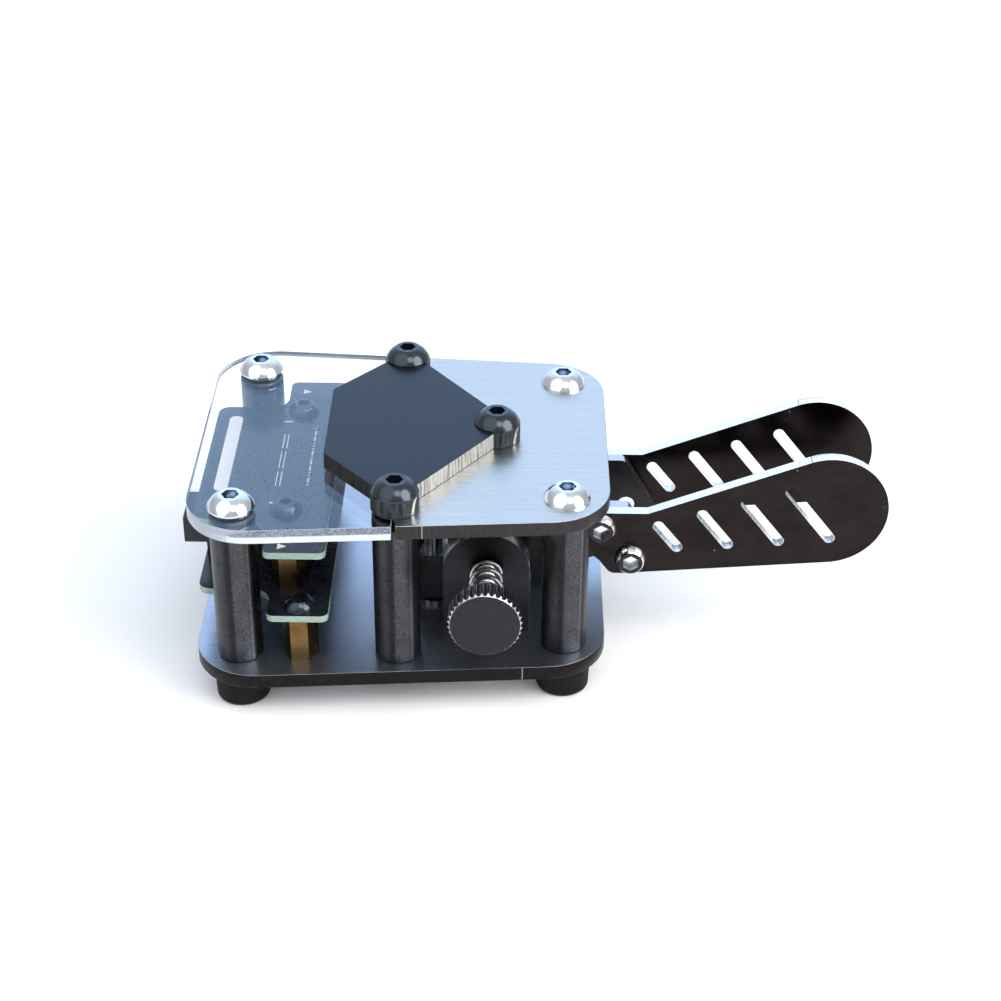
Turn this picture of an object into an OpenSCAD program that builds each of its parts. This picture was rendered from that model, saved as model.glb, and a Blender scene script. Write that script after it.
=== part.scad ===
// Dual-lever morse key: two steel plates on six posts, two sprung levers with finger blades,
// a thumb-screw stop for each lever, and a two-board stack with a 3.5 mm jack at the back end.
// +X points from the frame to the finger blades, +Y across the key, Z = 0 is the table.

/* [Frame] */
// Length of the two plates, mm
plate_length = 67.5; // [64:0.5:72]
// Width of the plates at the jack end, mm
plate_width_back = 60.8; // [60:0.2:64]
// Width of the plates at the blade end, mm
plate_width_front = 51.2; // [50:0.2:54]
// Thickness of the two steel plates, mm
plate_thickness = 2.5; // [2.5:0.1:3]
// Radius of the plate corners, mm
corner_radius = 10.2; // [8:0.2:12]
// Height of the posts between the plates, mm
post_height = 25.5; // [25.5:0.1:28]
// Diameter of the posts, mm
post_diameter = 7.5; // [7:0.1:8]
// Height of the rubber feet, mm
foot_height = 6; // [5:0.5:8]

/* [Cover] */
// Thickness of the black cover plate, mm
cover_thickness = 2.9; // [2:0.1:4]
// Radius of the ear round each cover screw, mm
ear_radius = 3.9; // [3.8:0.1:4.4]

/* [Levers] */
// Thickness of the blades and of the lever arms, mm
blade_thickness = 2; // [1.6:0.1:2]
// Radius of the rounded tip of each blade, mm
blade_tip_radius = 9.95; // [9.5:0.05:10]
// Number of slanted slots in each blade
slot_count = 4; // [1:1:4]
// Width of the slots, mm
slot_width = 1.9; // [1.5:0.1:2.4]
// Gap between the contacts of a lever at rest, mm
contact_gap = 0.3; // [0.3:0.05:0.6]

/* [Thumb screws] */
// Diameter of the knurled knobs, mm
knob_diameter = 12; // [11:0.1:12.2]
// Length of the knurled knobs, mm
knob_length = 3.5; // [3:0.1:4]
// Number of teeth round a knob
knob_teeth = 36; // [24:2:44]

/* [Boards] */
// Thickness of the circuit boards, mm
board_thickness = 1.2; // [1:0.1:1.6]
// Height of the standoffs under the lower board, mm
lower_standoff = 8; // [7:0.5:8]
// Height of the standoffs between the boards, mm
upper_standoff = 11; // [11:0.5:12]

/* [Hidden] */
$fn = 64;
eps = 0.01;

// Levels
base_top = foot_height + plate_thickness;
top_under = base_top + post_height;
top_face = top_under + plate_thickness;
lower_under = base_top + lower_standoff;
lower_face = lower_under + board_thickness;
upper_under = lower_face + upper_standoff;
upper_face = upper_under + board_thickness;
axis_z = base_top + 12.1;

// Screw and post positions in plan
back_x = -26.3;
front_x = 26.8;
mid_x = -0.45;
back_y = 22.5;
front_y = 19;
mid_y = 22.2;
cover_tip_x = 15.4;
corners = [[back_x, -back_y], [back_x, back_y], [front_x, -front_y], [front_x, front_y]];
mids = [[mid_x, -mid_y], [mid_x, mid_y]];
seam_left = -0.8;
seam_right = -0.2;

// M4 and M3 fasteners: shank, hole, head diameter, head height, key size
m4_shank = 1.95;
m4_thread = 2;
m4_clear = 2.2;
m3_shank = 1.45;
m3_thread = 1.5;
m3_clear = 1.65;
m4 = [m4_shank, 7.6, 2.2, 2.5];
m3 = [m3_shank, 5.3, 1.65, 2];
m3_side = [m3_shank, 5.3, 1.65, 2.5];

// Levers: pivot, outer face of the arms, reach of the arms
pivot_x = 5;
pivot_y = 6.2;
pin_radius = 1.5;
bearing_radius = 2.6;
bearing_bore = 1.54;
arm_outer = 8.5;
arm_inner = arm_outer - blade_thickness;
blade_outer = arm_outer + blade_thickness;
arm_high = base_top + 19.8;
hub_radius = 2.3;
hub_low = base_top + 0.95;
hub_high = top_under - 0.95;
washer_height = 0.8;
blade_screws = [[32.8, base_top + 17], [37.9, base_top + 11]];

// Contacts and springs inside the frame
contact_x = 24;
contact_radius = 1;
rivet_reach = 2;
tip_y = arm_inner - rivet_reach - contact_gap;
block_half = 3;
screw_x = 13.95;

// Thumb screws
knob_face_y = 31.9;
bracket_face = 16.5;
bracket_thickness = 4;
bracket_radius = 7.15;
rod_radius = 2;
rod_tip_y = arm_outer + 0.05;
spring_seat_y = knob_face_y - knob_length - 1;
collar_height = 0.5;

// Boards
board_left = -33.4;
board_right = -11.5;
board_half = 18.2;
tab_left = -21.5;
tab_front = 25.8;
tab_rear = 27.4;
low_posts = [[-16.3, -22.9], [-16.3, 22.9]];
up_posts = [[-18.5, -15.3], [-18.5, 17]];
jack_left = -35.7;
jack_front = -14;
jack_size = [12, 6, 5];
jack_bore = 1.8;
jack_depth = 11;
header_pins = 6;
pin_pitch = 2.54;
header_x = -31.9;
header_socket = 8.5;

// Middle of the whole key along X, from the jack's mouth to the tips of the blades
tip_x = 70;
middle_x = (jack_left + tip_x + blade_tip_radius) / 2;

// ---------- plane outlines ----------

function unit(v) = v / norm(v);

// Points where a rounding of radius r leaves the two edges that meet at corner b
function tangents(a, b, c, r) =
  let (u = unit(a - b), w = unit(c - b))
  let (half = acos(u * w) / 2, reach = r / tan(half))
  [b + u * reach, b + w * reach];

function round_centre(a, b, c, r) =
  let (u = unit(a - b), w = unit(c - b))
  b + unit(u + w) * r / sin(acos(u * w) / 2);

// Convex outline with its corners rounded to the radii in the list
module rounded(points, radii) {
  n = len(points);
  polygon([
    for (i = [0 : n - 1])
      each tangents(points[(i + n - 1) % n], points[i], points[(i + 1) % n], radii[i])
  ]);
  for (i = [0 : n - 1])
    translate(round_centre(points[(i + n - 1) % n], points[i], points[(i + 1) % n], radii[i]))
      circle(radii[i]);
}

module plate_outline() {
  rounded([
    [-plate_length / 2, -plate_width_back / 2], [plate_length / 2, -plate_width_front / 2],
    [plate_length / 2, plate_width_front / 2], [-plate_length / 2, plate_width_back / 2]
  ], [for (i = [0 : 3]) corner_radius]);
}

module discs(places, r) {
  for (p = places)
    translate(p)
      circle(r);
}

// X is drawn from the middle of the plates; this moves the origin under the middle of the key
module centred() {
  translate([-middle_x, 0, 0])
    children();
}

// Both halves of something that is the same on the front and the rear side
module both_sides() {
  children();
  mirror([0, 1, 0])
    children();
}

// ---------- fasteners ----------

// Button-head screw standing on its head's seat: size = [shank, head diameter, head height, key]
module button_screw(size, length) {
  rim = 0.3;
  flat = size[3] * 0.78;
  top = size[2];
  half = size[1] / 2;
  drop = (half * half + rim * rim - flat * flat - top * top) / (2 * (rim - top));
  radius = sqrt(half * half + (rim - drop) * (rim - drop));
  difference() {
    union() {
      intersection() {
        cylinder(h = top, r = half);
        translate([0, 0, drop])
          sphere(radius, $fn = 96);
      }
      translate([0, 0, -length])
        cylinder(h = length + rim, r = size[0]);
    }
    translate([0, 0, top * 0.3])
      cylinder(h = top, d = size[3] / cos(30), $fn = 6);
  }
}

// Turns a screw so that its head faces down
module head_down() {
  mirror([0, 0, 1])
    children();
}

// Pan-head machine screw with a cross recess
module pan_screw(shank, head_diameter, head_height, length) {
  recess = head_diameter * 0.5;
  difference() {
    union() {
      rotate_extrude()
        intersection() {
          translate([0, head_height - head_diameter])
            circle(head_diameter, $fn = 96);
          square([head_diameter / 2, head_height]);
        }
      translate([0, 0, -length])
        cylinder(h = length + 0.2, r = shank);
    }
    for (turn = [0, 90])
      rotate(turn)
        translate([-recess / 2, -0.3, head_height * 0.4])
          cube([recess, 0.6, head_height]);
  }
}

// Threaded rod with ring-shaped ridges, along +Z from 0 to length
module ridged_rod(radius, length, pitch) {
  depth = 0.3;
  turns = floor(length / pitch);
  rotate_extrude()
    polygon([
      [0, 0],
      [radius - depth, 0],
      for (i = [0 : turns - 1])
        each [[radius - depth, i * pitch + 0.05], [radius, (i + 0.5) * pitch]],
      [radius - depth, turns * pitch],
      [radius - depth, length],
      [0, length]
    ]);
}

// Coil of round wire along +Z, standing between 0 and height
module coil(radius, wire, height, turns, sides = 8, steps = 20) {
  count = turns * steps;
  rise = height - 2 * wire;
  points = [
    for (i = [0 : count])
      let (a = 360 * i / steps, z = wire + rise * i / count)
      for (j = [0 : sides - 1])
        let (b = 360 * j / sides, r = radius + wire * cos(b))
        [r * cos(a), r * sin(a), z + wire * sin(b)]
  ];
  walls = [
    for (i = [0 : count - 1], j = [0 : sides - 1])
      let (k = (j + 1) % sides, p = i * sides, q = p + sides)
      each [[p + j, q + j, q + k], [p + j, q + k, p + k]]
  ];
  start = [for (j = [0 : sides - 1]) j];
  finish = [for (j = [sides - 1 : -1 : 0]) count * sides + j];
  polyhedron(points, concat(walls, [start, finish]));
}

// ---------- frame ----------

module base_plate() {
  color([0.62, 0.64, 0.67])
    centred()
    translate([0, 0, foot_height])
      linear_extrude(plate_thickness)
        difference() {
          plate_outline();
          discs(corners, m4_clear);
          discs(mids, m4_clear);
          discs(low_posts, m3_clear);
          discs([[pivot_x, -pivot_y], [pivot_x, pivot_y]], bearing_radius);
          discs([[contact_x, 0]], m3_clear);
          both_sides()
            discs(bracket_holes, bracket_clear);
        }
}

bracket_holes = [
  for (side = [-1, 1])
    [screw_x + side * 4.5, bracket_thickness / 2 - bracket_face]
];
bracket_clear = 1.35;

foot_radius = 4.6;
foot_bottom = 3.6;
foot_edge = 0.8;
foot_well = 2.9;
foot_well_depth = 3.2;
foot_screw_head = 5.4;

module rubber_feet() {
  color([0.08, 0.08, 0.08])
    centred()
    for (p = corners)
      translate(p)
        difference() {
          rotate_extrude() {
            polygon([
              [0, 0], [foot_bottom, 0], [foot_bottom + foot_edge, foot_edge],
              [foot_radius, foot_height], [0, foot_height]
            ]);
            translate([foot_bottom, foot_edge])
              intersection() {
                circle(foot_edge);
                translate([0, -foot_edge])
                  square(foot_edge);
              }
          }
          translate([0, 0, -eps])
            cylinder(h = foot_well_depth, r = foot_well);
          cylinder(h = 2 * foot_height, r = m4_shank + 0.1);
        }
}

module foot_screws() {
  color([0.7, 0.7, 0.72])
    centred()
    for (p = corners)
      translate([p[0], p[1], foot_well_depth - eps])
        head_down()
          pan_screw(m4_shank, foot_screw_head, 2.2, foot_height - foot_well_depth + plate_thickness + 6);
}

module post() {
  chamfer = 0.3;
  r = post_diameter / 2;
  translate([0, 0, base_top])
    difference() {
      rotate_extrude()
        polygon([
          [0, 0], [r - chamfer, 0], [r, chamfer], [r, post_height - chamfer],
          [r - chamfer, post_height], [0, post_height]
        ]);
      translate([0, 0, -1])
        cylinder(h = post_height + 2, r = m4_thread);
    }
}

module corner_posts() {
  color([0.5, 0.5, 0.52])
    centred()
    for (p = corners)
      translate(p)
        post();
}

module mid_posts() {
  color([0.5, 0.5, 0.52])
    centred()
    for (p = mids)
      translate(p)
        post();
}

module mid_post_screws() {
  color([0.12, 0.12, 0.13])
    centred()
    for (p = mids)
      translate([p[0], p[1], foot_height])
        head_down()
          button_screw(m4, plate_thickness + 6);
}

module top_outline(from, to) {
  intersection() {
    plate_outline();
    translate([from, -50])
      square([to - from, 100]);
  }
}

module steel_top_plate() {
  color([0.78, 0.8, 0.84])
    centred()
    translate([0, 0, top_under])
      linear_extrude(plate_thickness)
        difference() {
          top_outline(seam_right, 50);
          discs(corners, m4_clear);
          discs(mids, m4_clear);
          discs([[cover_tip_x, 0]], m4_thread);
          discs([[pivot_x, -pivot_y], [pivot_x, pivot_y]], bearing_radius);
        }
}

module acrylic_top_plate() {
  color([0.75, 0.85, 0.95, 0.4])
    centred()
    translate([0, 0, top_under])
      linear_extrude(plate_thickness)
        difference() {
          top_outline(-50, seam_left);
          discs(corners, m4_clear);
          discs(mids, m4_clear);
        }
}

module top_screws() {
  color([0.85, 0.86, 0.88])
    centred()
    for (p = corners)
      translate([p[0], p[1], top_face])
        button_screw(m4, plate_thickness + 6);
}

cover_left = -12.6;
cover_left_half = 10.65;
cover_edge = 24.9;
cover_nose = 17.75;

module cover_plate() {
  screws = [mids[0], mids[1], [cover_tip_x, 0]];
  color([0.1, 0.11, 0.13])
    centred()
    translate([0, 0, top_face])
      linear_extrude(cover_thickness)
        difference() {
          union() {
            polygon([
              [cover_left, -cover_left_half], [mid_x, -cover_edge], [cover_nose, 0],
              [mid_x, cover_edge], [cover_left, cover_left_half]
            ]);
            discs(screws, ear_radius);
          }
          discs(screws, m4_clear);
        }
}

module cover_screws() {
  color([0.1, 0.1, 0.11])
    centred() {
    for (p = mids)
      translate([p[0], p[1], top_face + cover_thickness])
        button_screw(m4, cover_thickness + plate_thickness + 6);
    translate([cover_tip_x, 0, top_face + cover_thickness])
      button_screw(m4, cover_thickness + plate_thickness);
  }
}

// ---------- levers ----------

module bearing() {
  groove = 0.25;
  difference() {
    cylinder(h = plate_thickness, r = bearing_radius);
    translate([0, 0, -1])
      cylinder(h = plate_thickness + 2, r = bearing_bore);
    for (z = [-eps, plate_thickness - groove])
      translate([0, 0, z])
        difference() {
          cylinder(h = groove + eps, r = bearing_radius - 0.45);
          translate([0, 0, -1])
            cylinder(h = 3, r = bearing_bore + 0.35);
        }
  }
}

module pivot_bearings() {
  color([0.75, 0.75, 0.78])
    centred()
    both_sides()
      for (z = [foot_height, top_under])
        translate([pivot_x, -pivot_y, z])
          bearing();
}

module thrust_washers() {
  color([0.6, 0.6, 0.62])
    centred()
    both_sides()
      for (z = [base_top, top_under - washer_height])
        translate([pivot_x, -pivot_y, z])
          difference() {
            cylinder(h = washer_height, r = bearing_radius + 0.4);
            translate([0, 0, -1])
              cylinder(h = 3, r = bearing_bore + 0.1);
          }
}

// Side view of the arm, in X and Z, drawn flat: a low and a high tongue round the pivot, a deep
// body, and the seat of the blade
arm_root = 1;
tongue_end = 12;
tongue_low = hub_low + 0.15;
tongue_high = base_top + 9.7;
knuckle_low = base_top + 15.2;
body_left = 7.6;
body_low = [22.6, base_top + 6.9];
seat_left = [31.9, base_top + 10];
seat_low = base_top + 8.1;
seat_end_high = 37.4;
seat_end_low = 44.4;

module arm_profile() {
  rounded([
    [arm_root, tongue_low], [tongue_end, tongue_low], [tongue_end, tongue_high], [arm_root, tongue_high]
  ], [0.8, 0.5, 0.5, 0.8]);
  rounded([
    [arm_root, knuckle_low], [tongue_end, knuckle_low], [tongue_end, arm_high], [arm_root, arm_high]
  ], [0.8, 0.5, 0.5, 0.8]);
  rounded([
    [body_left, base_top + 4.4], body_low, seat_left, [34, arm_high], [body_left, arm_high]
  ], [0.5, 0.5, 0.2, 0.5, 0.8]);
  rounded([
    seat_left, [34.2, seat_low], [seat_end_low, seat_low], [seat_end_high, arm_high], [31, arm_high]
  ], [0.2, 0.6, 1.2, 1.2, 0.2]);
}

// Stands a flat X-Z drawing up between y = -outer and y = -inner
module upright(outer, inner) {
  translate([0, -inner, 0])
    rotate([90, 0, 0])
      linear_extrude(outer - inner)
        children();
}

stud_radius = 1.2;
stud_length = 1.2;

module arm() {
  difference() {
    union() {
      upright(arm_outer, arm_inner)
        difference() {
          arm_profile();
          discs(blade_screws, m3_thread);
          discs([[contact_x, axis_z]], contact_radius - 0.2);
        }
      for (span = [[hub_low, tongue_high], [knuckle_low, hub_high]])
        translate([pivot_x, -pivot_y, span[0]])
          cylinder(h = span[1] - span[0], r = hub_radius);
      upright(arm_inner, arm_inner - stud_length)
        discs([[screw_x, axis_z]], stud_radius);
    }
    translate([pivot_x, -pivot_y, 0])
      cylinder(h = 2 * top_face, r = pin_radius);
  }
}

module arm_front() {
  color([0.3, 0.3, 0.32])
    centred()
    arm();
}

module arm_rear() {
  color([0.3, 0.3, 0.32])
    centred()
    mirror([0, 1, 0])
      arm();
}

// Blade outline: flat root, straight edges that run tangent into the round tip
tip_z = base_top + 20.6;
shoulder = [40.5, arm_high];
heel = [36.5, base_top + 8];
root_left = 28.6;

// Point where a line from p touches the round tip, on the upper (+1) or lower (-1) side
function touch(p, side) =
  let (d = [tip_x, tip_z] - p, far = norm(d), reach = sqrt(far * far - blade_tip_radius ^ 2))
  let (a = atan2(d[1], d[0]) + side * asin(blade_tip_radius / far))
  p + reach * [cos(a), sin(a)];

module slot(from, to) {
  along = to - from;
  for (p = [from, to])
    translate(p)
      circle(d = slot_width);
  translate(from)
    rotate(atan2(along[1], along[0]))
      translate([0, -slot_width / 2])
        square([norm(along), slot_width]);
}

slot_pitch = [7.13, 2.28];
slot_first = [42.3, base_top + 17.4];
slot_first_length = 5.2;
slot_growth = 2;
slot_angle = -51.5;

module blade_profile() {
  upper = touch(shoulder, 1);
  lower = touch(heel, -1);
  difference() {
    union() {
      translate([tip_x, tip_z])
        circle(blade_tip_radius, $fn = 128);
      polygon([shoulder, upper, [tip_x, tip_z], lower, heel]);
      rounded([[root_left, arm_high], [root_left, base_top + 16], [34.6, base_top + 8], heel, shoulder],
        [0.6, 2, 1.6, 0.01, 0.01]);
    }
    discs(blade_screws, m3_clear);
    for (i = [0 : slot_count - 1])
      let (from = slot_first + i * slot_pitch, reach = slot_first_length + i * slot_growth)
        slot(from, from + reach * [cos(slot_angle), sin(slot_angle)]);
  }
}

module blade() {
  upright(blade_outer, arm_outer)
    blade_profile();
}

module blade_front() {
  color([0.2, 0.19, 0.19])
    centred()
    blade();
}

module blade_rear() {
  color([0.2, 0.19, 0.19])
    centred()
    mirror([0, 1, 0])
      blade();
}

module side_screws() {
  for (p = blade_screws)
    translate([p[0], -blade_outer, p[1]])
      rotate([90, 0, 0])
        rotate(30)
          button_screw(m3_side, 2 * blade_thickness);
}

module blade_screws_front() {
  color([0.85, 0.85, 0.87])
    centred()
    side_screws();
}

module blade_screws_rear() {
  color([0.85, 0.85, 0.87])
    centred()
    mirror([0, 1, 0])
      side_screws();
}

module pivot_pin() {
  inset = 0.2;
  translate([pivot_x, -pivot_y, foot_height + inset])
    cylinder(h = top_face - foot_height - 2 * inset, r = pin_radius);
}

module pivot_pin_front() {
  color([0.8, 0.8, 0.82])
    centred()
    pivot_pin();
}

module pivot_pin_rear() {
  color([0.8, 0.8, 0.82])
    centred()
    mirror([0, 1, 0])
      pivot_pin();
}

module rivet() {
  upright(arm_inner, arm_inner - rivet_reach)
    discs([[contact_x, axis_z]], contact_radius);
  upright(arm_outer, arm_inner - eps)
    discs([[contact_x, axis_z]], contact_radius - 0.25);
}

module rivet_front() {
  color([0.9, 0.9, 0.88])
    centred()
    rivet();
}

module rivet_rear() {
  color([0.9, 0.9, 0.88])
    centred()
    mirror([0, 1, 0])
      rivet();
}

// ---------- contacts between the levers ----------

block_length = 5;
block_height = 16.5;
tip_inner = 0.9;
tail_y = 1.6;
tail_radius = 0.5;
tail_end = 19.8;

module contact_tip(grow = 0) {
  upright(tip_y, tip_inner - grow)
    discs([[contact_x, axis_z]], contact_radius + grow);
  translate([tail_end, -tail_y, axis_z])
    rotate([0, 90, 0])
      cylinder(h = contact_x - tail_end, r = tail_radius + grow);
}

module contact_block() {
  color([0.07, 0.07, 0.08])
    centred()
    difference() {
      translate([contact_x - block_length / 2, -block_half, base_top])
        cube([block_length, 2 * block_half, block_height]);
      both_sides()
        contact_tip(0.02);
      translate([contact_x, 0, 0])
        cylinder(h = base_top + 8, r = m3_thread);
    }
}

module contact_block_screw() {
  color([0.12, 0.12, 0.13])
    centred()
    translate([contact_x, 0, foot_height])
      head_down()
        button_screw(m3, plate_thickness + 6);
}

module contact_tip_front() {
  color([0.83, 0.68, 0.35])
    centred()
    contact_tip();
}

module contact_tip_rear() {
  color([0.83, 0.68, 0.35])
    centred()
    mirror([0, 1, 0])
      contact_tip();
}

module return_spring() {
  length = 2 * arm_inner - 0.3;
  color([0.7, 0.7, 0.72])
    centred()
    translate([screw_x, -length / 2, axis_z])
      rotate([-90, 0, 0])
        coil(1.85, 0.25, length, 9);
}

// ---------- thumb screws ----------

module bracket() {
  difference() {
    upright(bracket_face, bracket_face - bracket_thickness)
      difference() {
        union() {
          translate([screw_x, axis_z])
            circle(bracket_radius, $fn = 128);
          translate([screw_x - bracket_radius, base_top])
            square([2 * bracket_radius, axis_z - base_top]);
        }
        discs([[screw_x, axis_z]], rod_radius + 0.06);
      }
    for (p = bracket_holes)
      translate([p[0], p[1], 0])
        cylinder(h = base_top + 6, r = 1.25);
  }
}

module bracket_front() {
  color([0.2, 0.21, 0.24])
    centred()
    bracket();
}

module bracket_rear() {
  color([0.2, 0.21, 0.24])
    centred()
    mirror([0, 1, 0])
      bracket();
}

module bracket_screws() {
  color([0.12, 0.12, 0.13])
    centred()
    both_sides()
      for (p = bracket_holes)
        translate([p[0], p[1], foot_height])
          head_down()
            button_screw([1.2, 4.5, 1.4, 1.5], plate_thickness + 5);
}

// Knob standing along +Z with its face at the top
module knob_body() {
  bevel = 0.4;
  r = knob_diameter / 2;
  tooth = 360 / knob_teeth;
  depth = 0.35;
  difference() {
    intersection() {
      linear_extrude(knob_length)
        difference() {
          circle(r, $fn = 144);
          for (i = [0 : knob_teeth - 1])
            rotate(i * tooth)
              translate([r + 0.18, 0])
                circle(depth + 0.18, $fn = 16);
        }
      rotate_extrude($fn = 144)
        polygon([
          [0, 0], [r - 0.3, 0], [r, 0.3], [r, knob_length - bevel],
          [r - bevel, knob_length], [0, knob_length]
        ]);
    }
    translate([0, 0, -eps])
      cylinder(h = knob_length - 1, r = rod_radius);
  }
  translate([0, 0, -1])
    difference() {
      cylinder(h = 1 + eps, r = 3.4);
      translate([0, 0, -1])
        cylinder(h = 3, r = rod_radius);
    }
}

module knob() {
  translate([screw_x, knob_length - knob_face_y, axis_z])
    rotate([90, 0, 0])
      knob_body();
}

module knob_front() {
  color([0.25, 0.25, 0.27])
    centred()
    knob();
}

module knob_rear() {
  color([0.25, 0.25, 0.27])
    centred()
    mirror([0, 1, 0])
      knob();
}

module rod() {
  end_y = knob_face_y - 1 - eps;
  translate([screw_x, -rod_tip_y, axis_z])
    rotate([90, 0, 0])
      ridged_rod(rod_radius, end_y - rod_tip_y, 0.7);
}

module rod_front() {
  color([0.7, 0.7, 0.72])
    centred()
    rod();
}

module rod_rear() {
  color([0.7, 0.7, 0.72])
    centred()
    mirror([0, 1, 0])
      rod();
}

module collar() {
  translate([screw_x, -spring_seat_y + collar_height + eps, axis_z])
    rotate([90, 0, 0])
      difference() {
        cylinder(h = collar_height, r = 3.4);
        translate([0, 0, -1])
          cylinder(h = 3, r = rod_radius + 0.06);
      }
}

module collar_front() {
  color([0.75, 0.75, 0.77])
    centred()
    collar();
}

module collar_rear() {
  color([0.75, 0.75, 0.77])
    centred()
    mirror([0, 1, 0])
      collar();
}

module jam_spring() {
  length = spring_seat_y - collar_height - bracket_face - 2 * eps;
  translate([screw_x, -bracket_face - eps, axis_z])
    rotate([90, 0, 0])
      coil(2.45, 0.35, length, 4.5);
}

module jam_spring_front() {
  color([0.75, 0.75, 0.77])
    centred()
    jam_spring();
}

module jam_spring_rear() {
  color([0.75, 0.75, 0.77])
    centred()
    mirror([0, 1, 0])
      jam_spring();
}

// ---------- boards ----------

notch_round = 3;

module board_outline() {
  rounded([
    [board_left, -board_half], [board_right, -board_half],
    [board_right, board_half], [board_left, board_half]
  ], [2, 0.5, 0.5, 2]);
  rounded([
    [tab_left, -tab_front], [board_right, -tab_front], [board_right, tab_rear], [tab_left, tab_rear]
  ], [1.2, 1.2, 1.2, 1.2]);
  both_sides()
    difference() {
      translate([tab_left - notch_round, -board_half - notch_round])
        square(notch_round + eps);
      translate([tab_left - notch_round, -board_half - notch_round])
        circle(notch_round);
    }
}

module lower_board() {
  color([0.05, 0.07, 0.12])
    centred()
    translate([0, 0, lower_under])
      linear_extrude(board_thickness)
        difference() {
          board_outline();
          discs(low_posts, m3_clear);
          discs(up_posts, m3_clear);
        }
}

module upper_board() {
  color([0.05, 0.07, 0.12])
    centred()
    translate([0, 0, upper_under])
      linear_extrude(board_thickness)
        difference() {
          board_outline();
          discs(up_posts, m3_clear);
        }
}

module standoff(height) {
  difference() {
    cylinder(h = height, d = 5 / cos(30), $fn = 6);
    translate([0, 0, -1])
      cylinder(h = height + 2, r = m3_thread);
  }
}

module lower_standoffs() {
  color([0.75, 0.58, 0.25])
    centred()
    for (p = low_posts)
      translate([p[0], p[1], base_top])
        standoff(lower_standoff);
}

module upper_standoffs() {
  color([0.75, 0.58, 0.25])
    centred()
    for (p = up_posts)
      translate([p[0], p[1], lower_face])
        standoff(upper_standoff);
}

module standoff_base_screws() {
  color([0.12, 0.12, 0.13])
    centred()
    for (p = low_posts)
      translate([p[0], p[1], foot_height])
        head_down()
          button_screw(m3, plate_thickness + 3);
}

module lower_board_screws() {
  color([0.1, 0.1, 0.11])
    centred()
    for (p = low_posts)
      translate([p[0], p[1], lower_face])
        button_screw(m3, board_thickness + 3);
}

module upper_board_screws() {
  color([0.1, 0.1, 0.11])
    centred()
    for (p = up_posts)
      translate([p[0], p[1], upper_face])
        button_screw(m3, board_thickness + 3);
}

module standoff_under_screws() {
  color([0.12, 0.12, 0.13])
    centred()
    for (p = up_posts)
      translate([p[0], p[1], lower_under])
        head_down()
          button_screw(m3, board_thickness + 3);
}

jack_wall = 0.9;

module jack_socket() {
  centre = [jack_left, jack_front + jack_size[1] / 2, upper_under - jack_size[2] / 2];
  color([0.05, 0.05, 0.06])
    centred()
    difference() {
      translate([jack_left, centre[1], centre[2]])
        rotate([90, 0, 90])
          linear_extrude(jack_size[0])
            rounded([
              [-jack_size[1] / 2, -jack_size[2] / 2], [jack_size[1] / 2, -jack_size[2] / 2],
              [jack_size[1] / 2, jack_size[2] / 2], [-jack_size[1] / 2, jack_size[2] / 2]
            ], [0.8, 0.8, 0.2, 0.2]);
      translate([jack_left - eps, centre[1], centre[2]])
        rotate([0, 90, 0])
          cylinder(h = jack_depth + eps, r = jack_bore);
      for (place = jack_springs)
        translate([jack_left + place[0] - 0.05, centre[1] + place[1] - 0.35, upper_under - 2.2])
          cube([1.3, 0.7, 3]);
    }
}

// Contact springs of the jack: distance from its mouth, and sideways offset
jack_springs = [[2.2, -1.8], [5.4, 1.8], [9.2, -1.8]];

module jack_contacts() {
  color([0.8, 0.75, 0.6])
    centred()
    for (place = jack_springs)
      translate([jack_left + place[0], jack_front + jack_size[1] / 2 + place[1] - 0.15, upper_under - 2.1])
        cube([1.2, 0.3, 2.1]);
}

module header_socket_body() {
  length = header_pins * pin_pitch;
  color([0.05, 0.05, 0.06])
    centred() {
    difference() {
      translate([header_x - pin_pitch / 2, -length / 2, lower_face])
        cube([pin_pitch, length, header_socket]);
      for (i = [0 : header_pins - 1])
        translate([header_x - 0.4, (i + 0.5) * pin_pitch - length / 2 - 0.4, lower_face + 2])
          cube([0.8, 0.8, header_socket]);
    }
    difference() {
      translate([header_x - pin_pitch / 2, -length / 2, lower_face + header_socket])
        cube([pin_pitch, length, upper_standoff - header_socket]);
      for (i = [0 : header_pins - 1])
        translate([header_x - 0.4, (i + 0.5) * pin_pitch - length / 2 - 0.4, lower_face])
          cube([0.8, 0.8, 2 * upper_standoff]);
    }
  }
}

module header_pin_row() {
  length = header_pins * pin_pitch;
  color([0.85, 0.72, 0.35])
    centred()
    for (i = [0 : header_pins - 1])
      translate([header_x - 0.32, (i + 0.5) * pin_pitch - length / 2 - 0.32, lower_face + 2.6])
        cube([0.64, 0.64, upper_standoff - 2.6]);
}

resistors = [[-26, -3], [-26, 0], [-22, -3], [-22, 0]];

module board_resistors() {
  color([0.15, 0.15, 0.16])
    centred()
    for (p = resistors)
      translate([p[0] - 1, p[1] - 0.6, lower_face])
        cube([2, 1.2, 0.5]);
}

// ---------- drawing ----------

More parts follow.
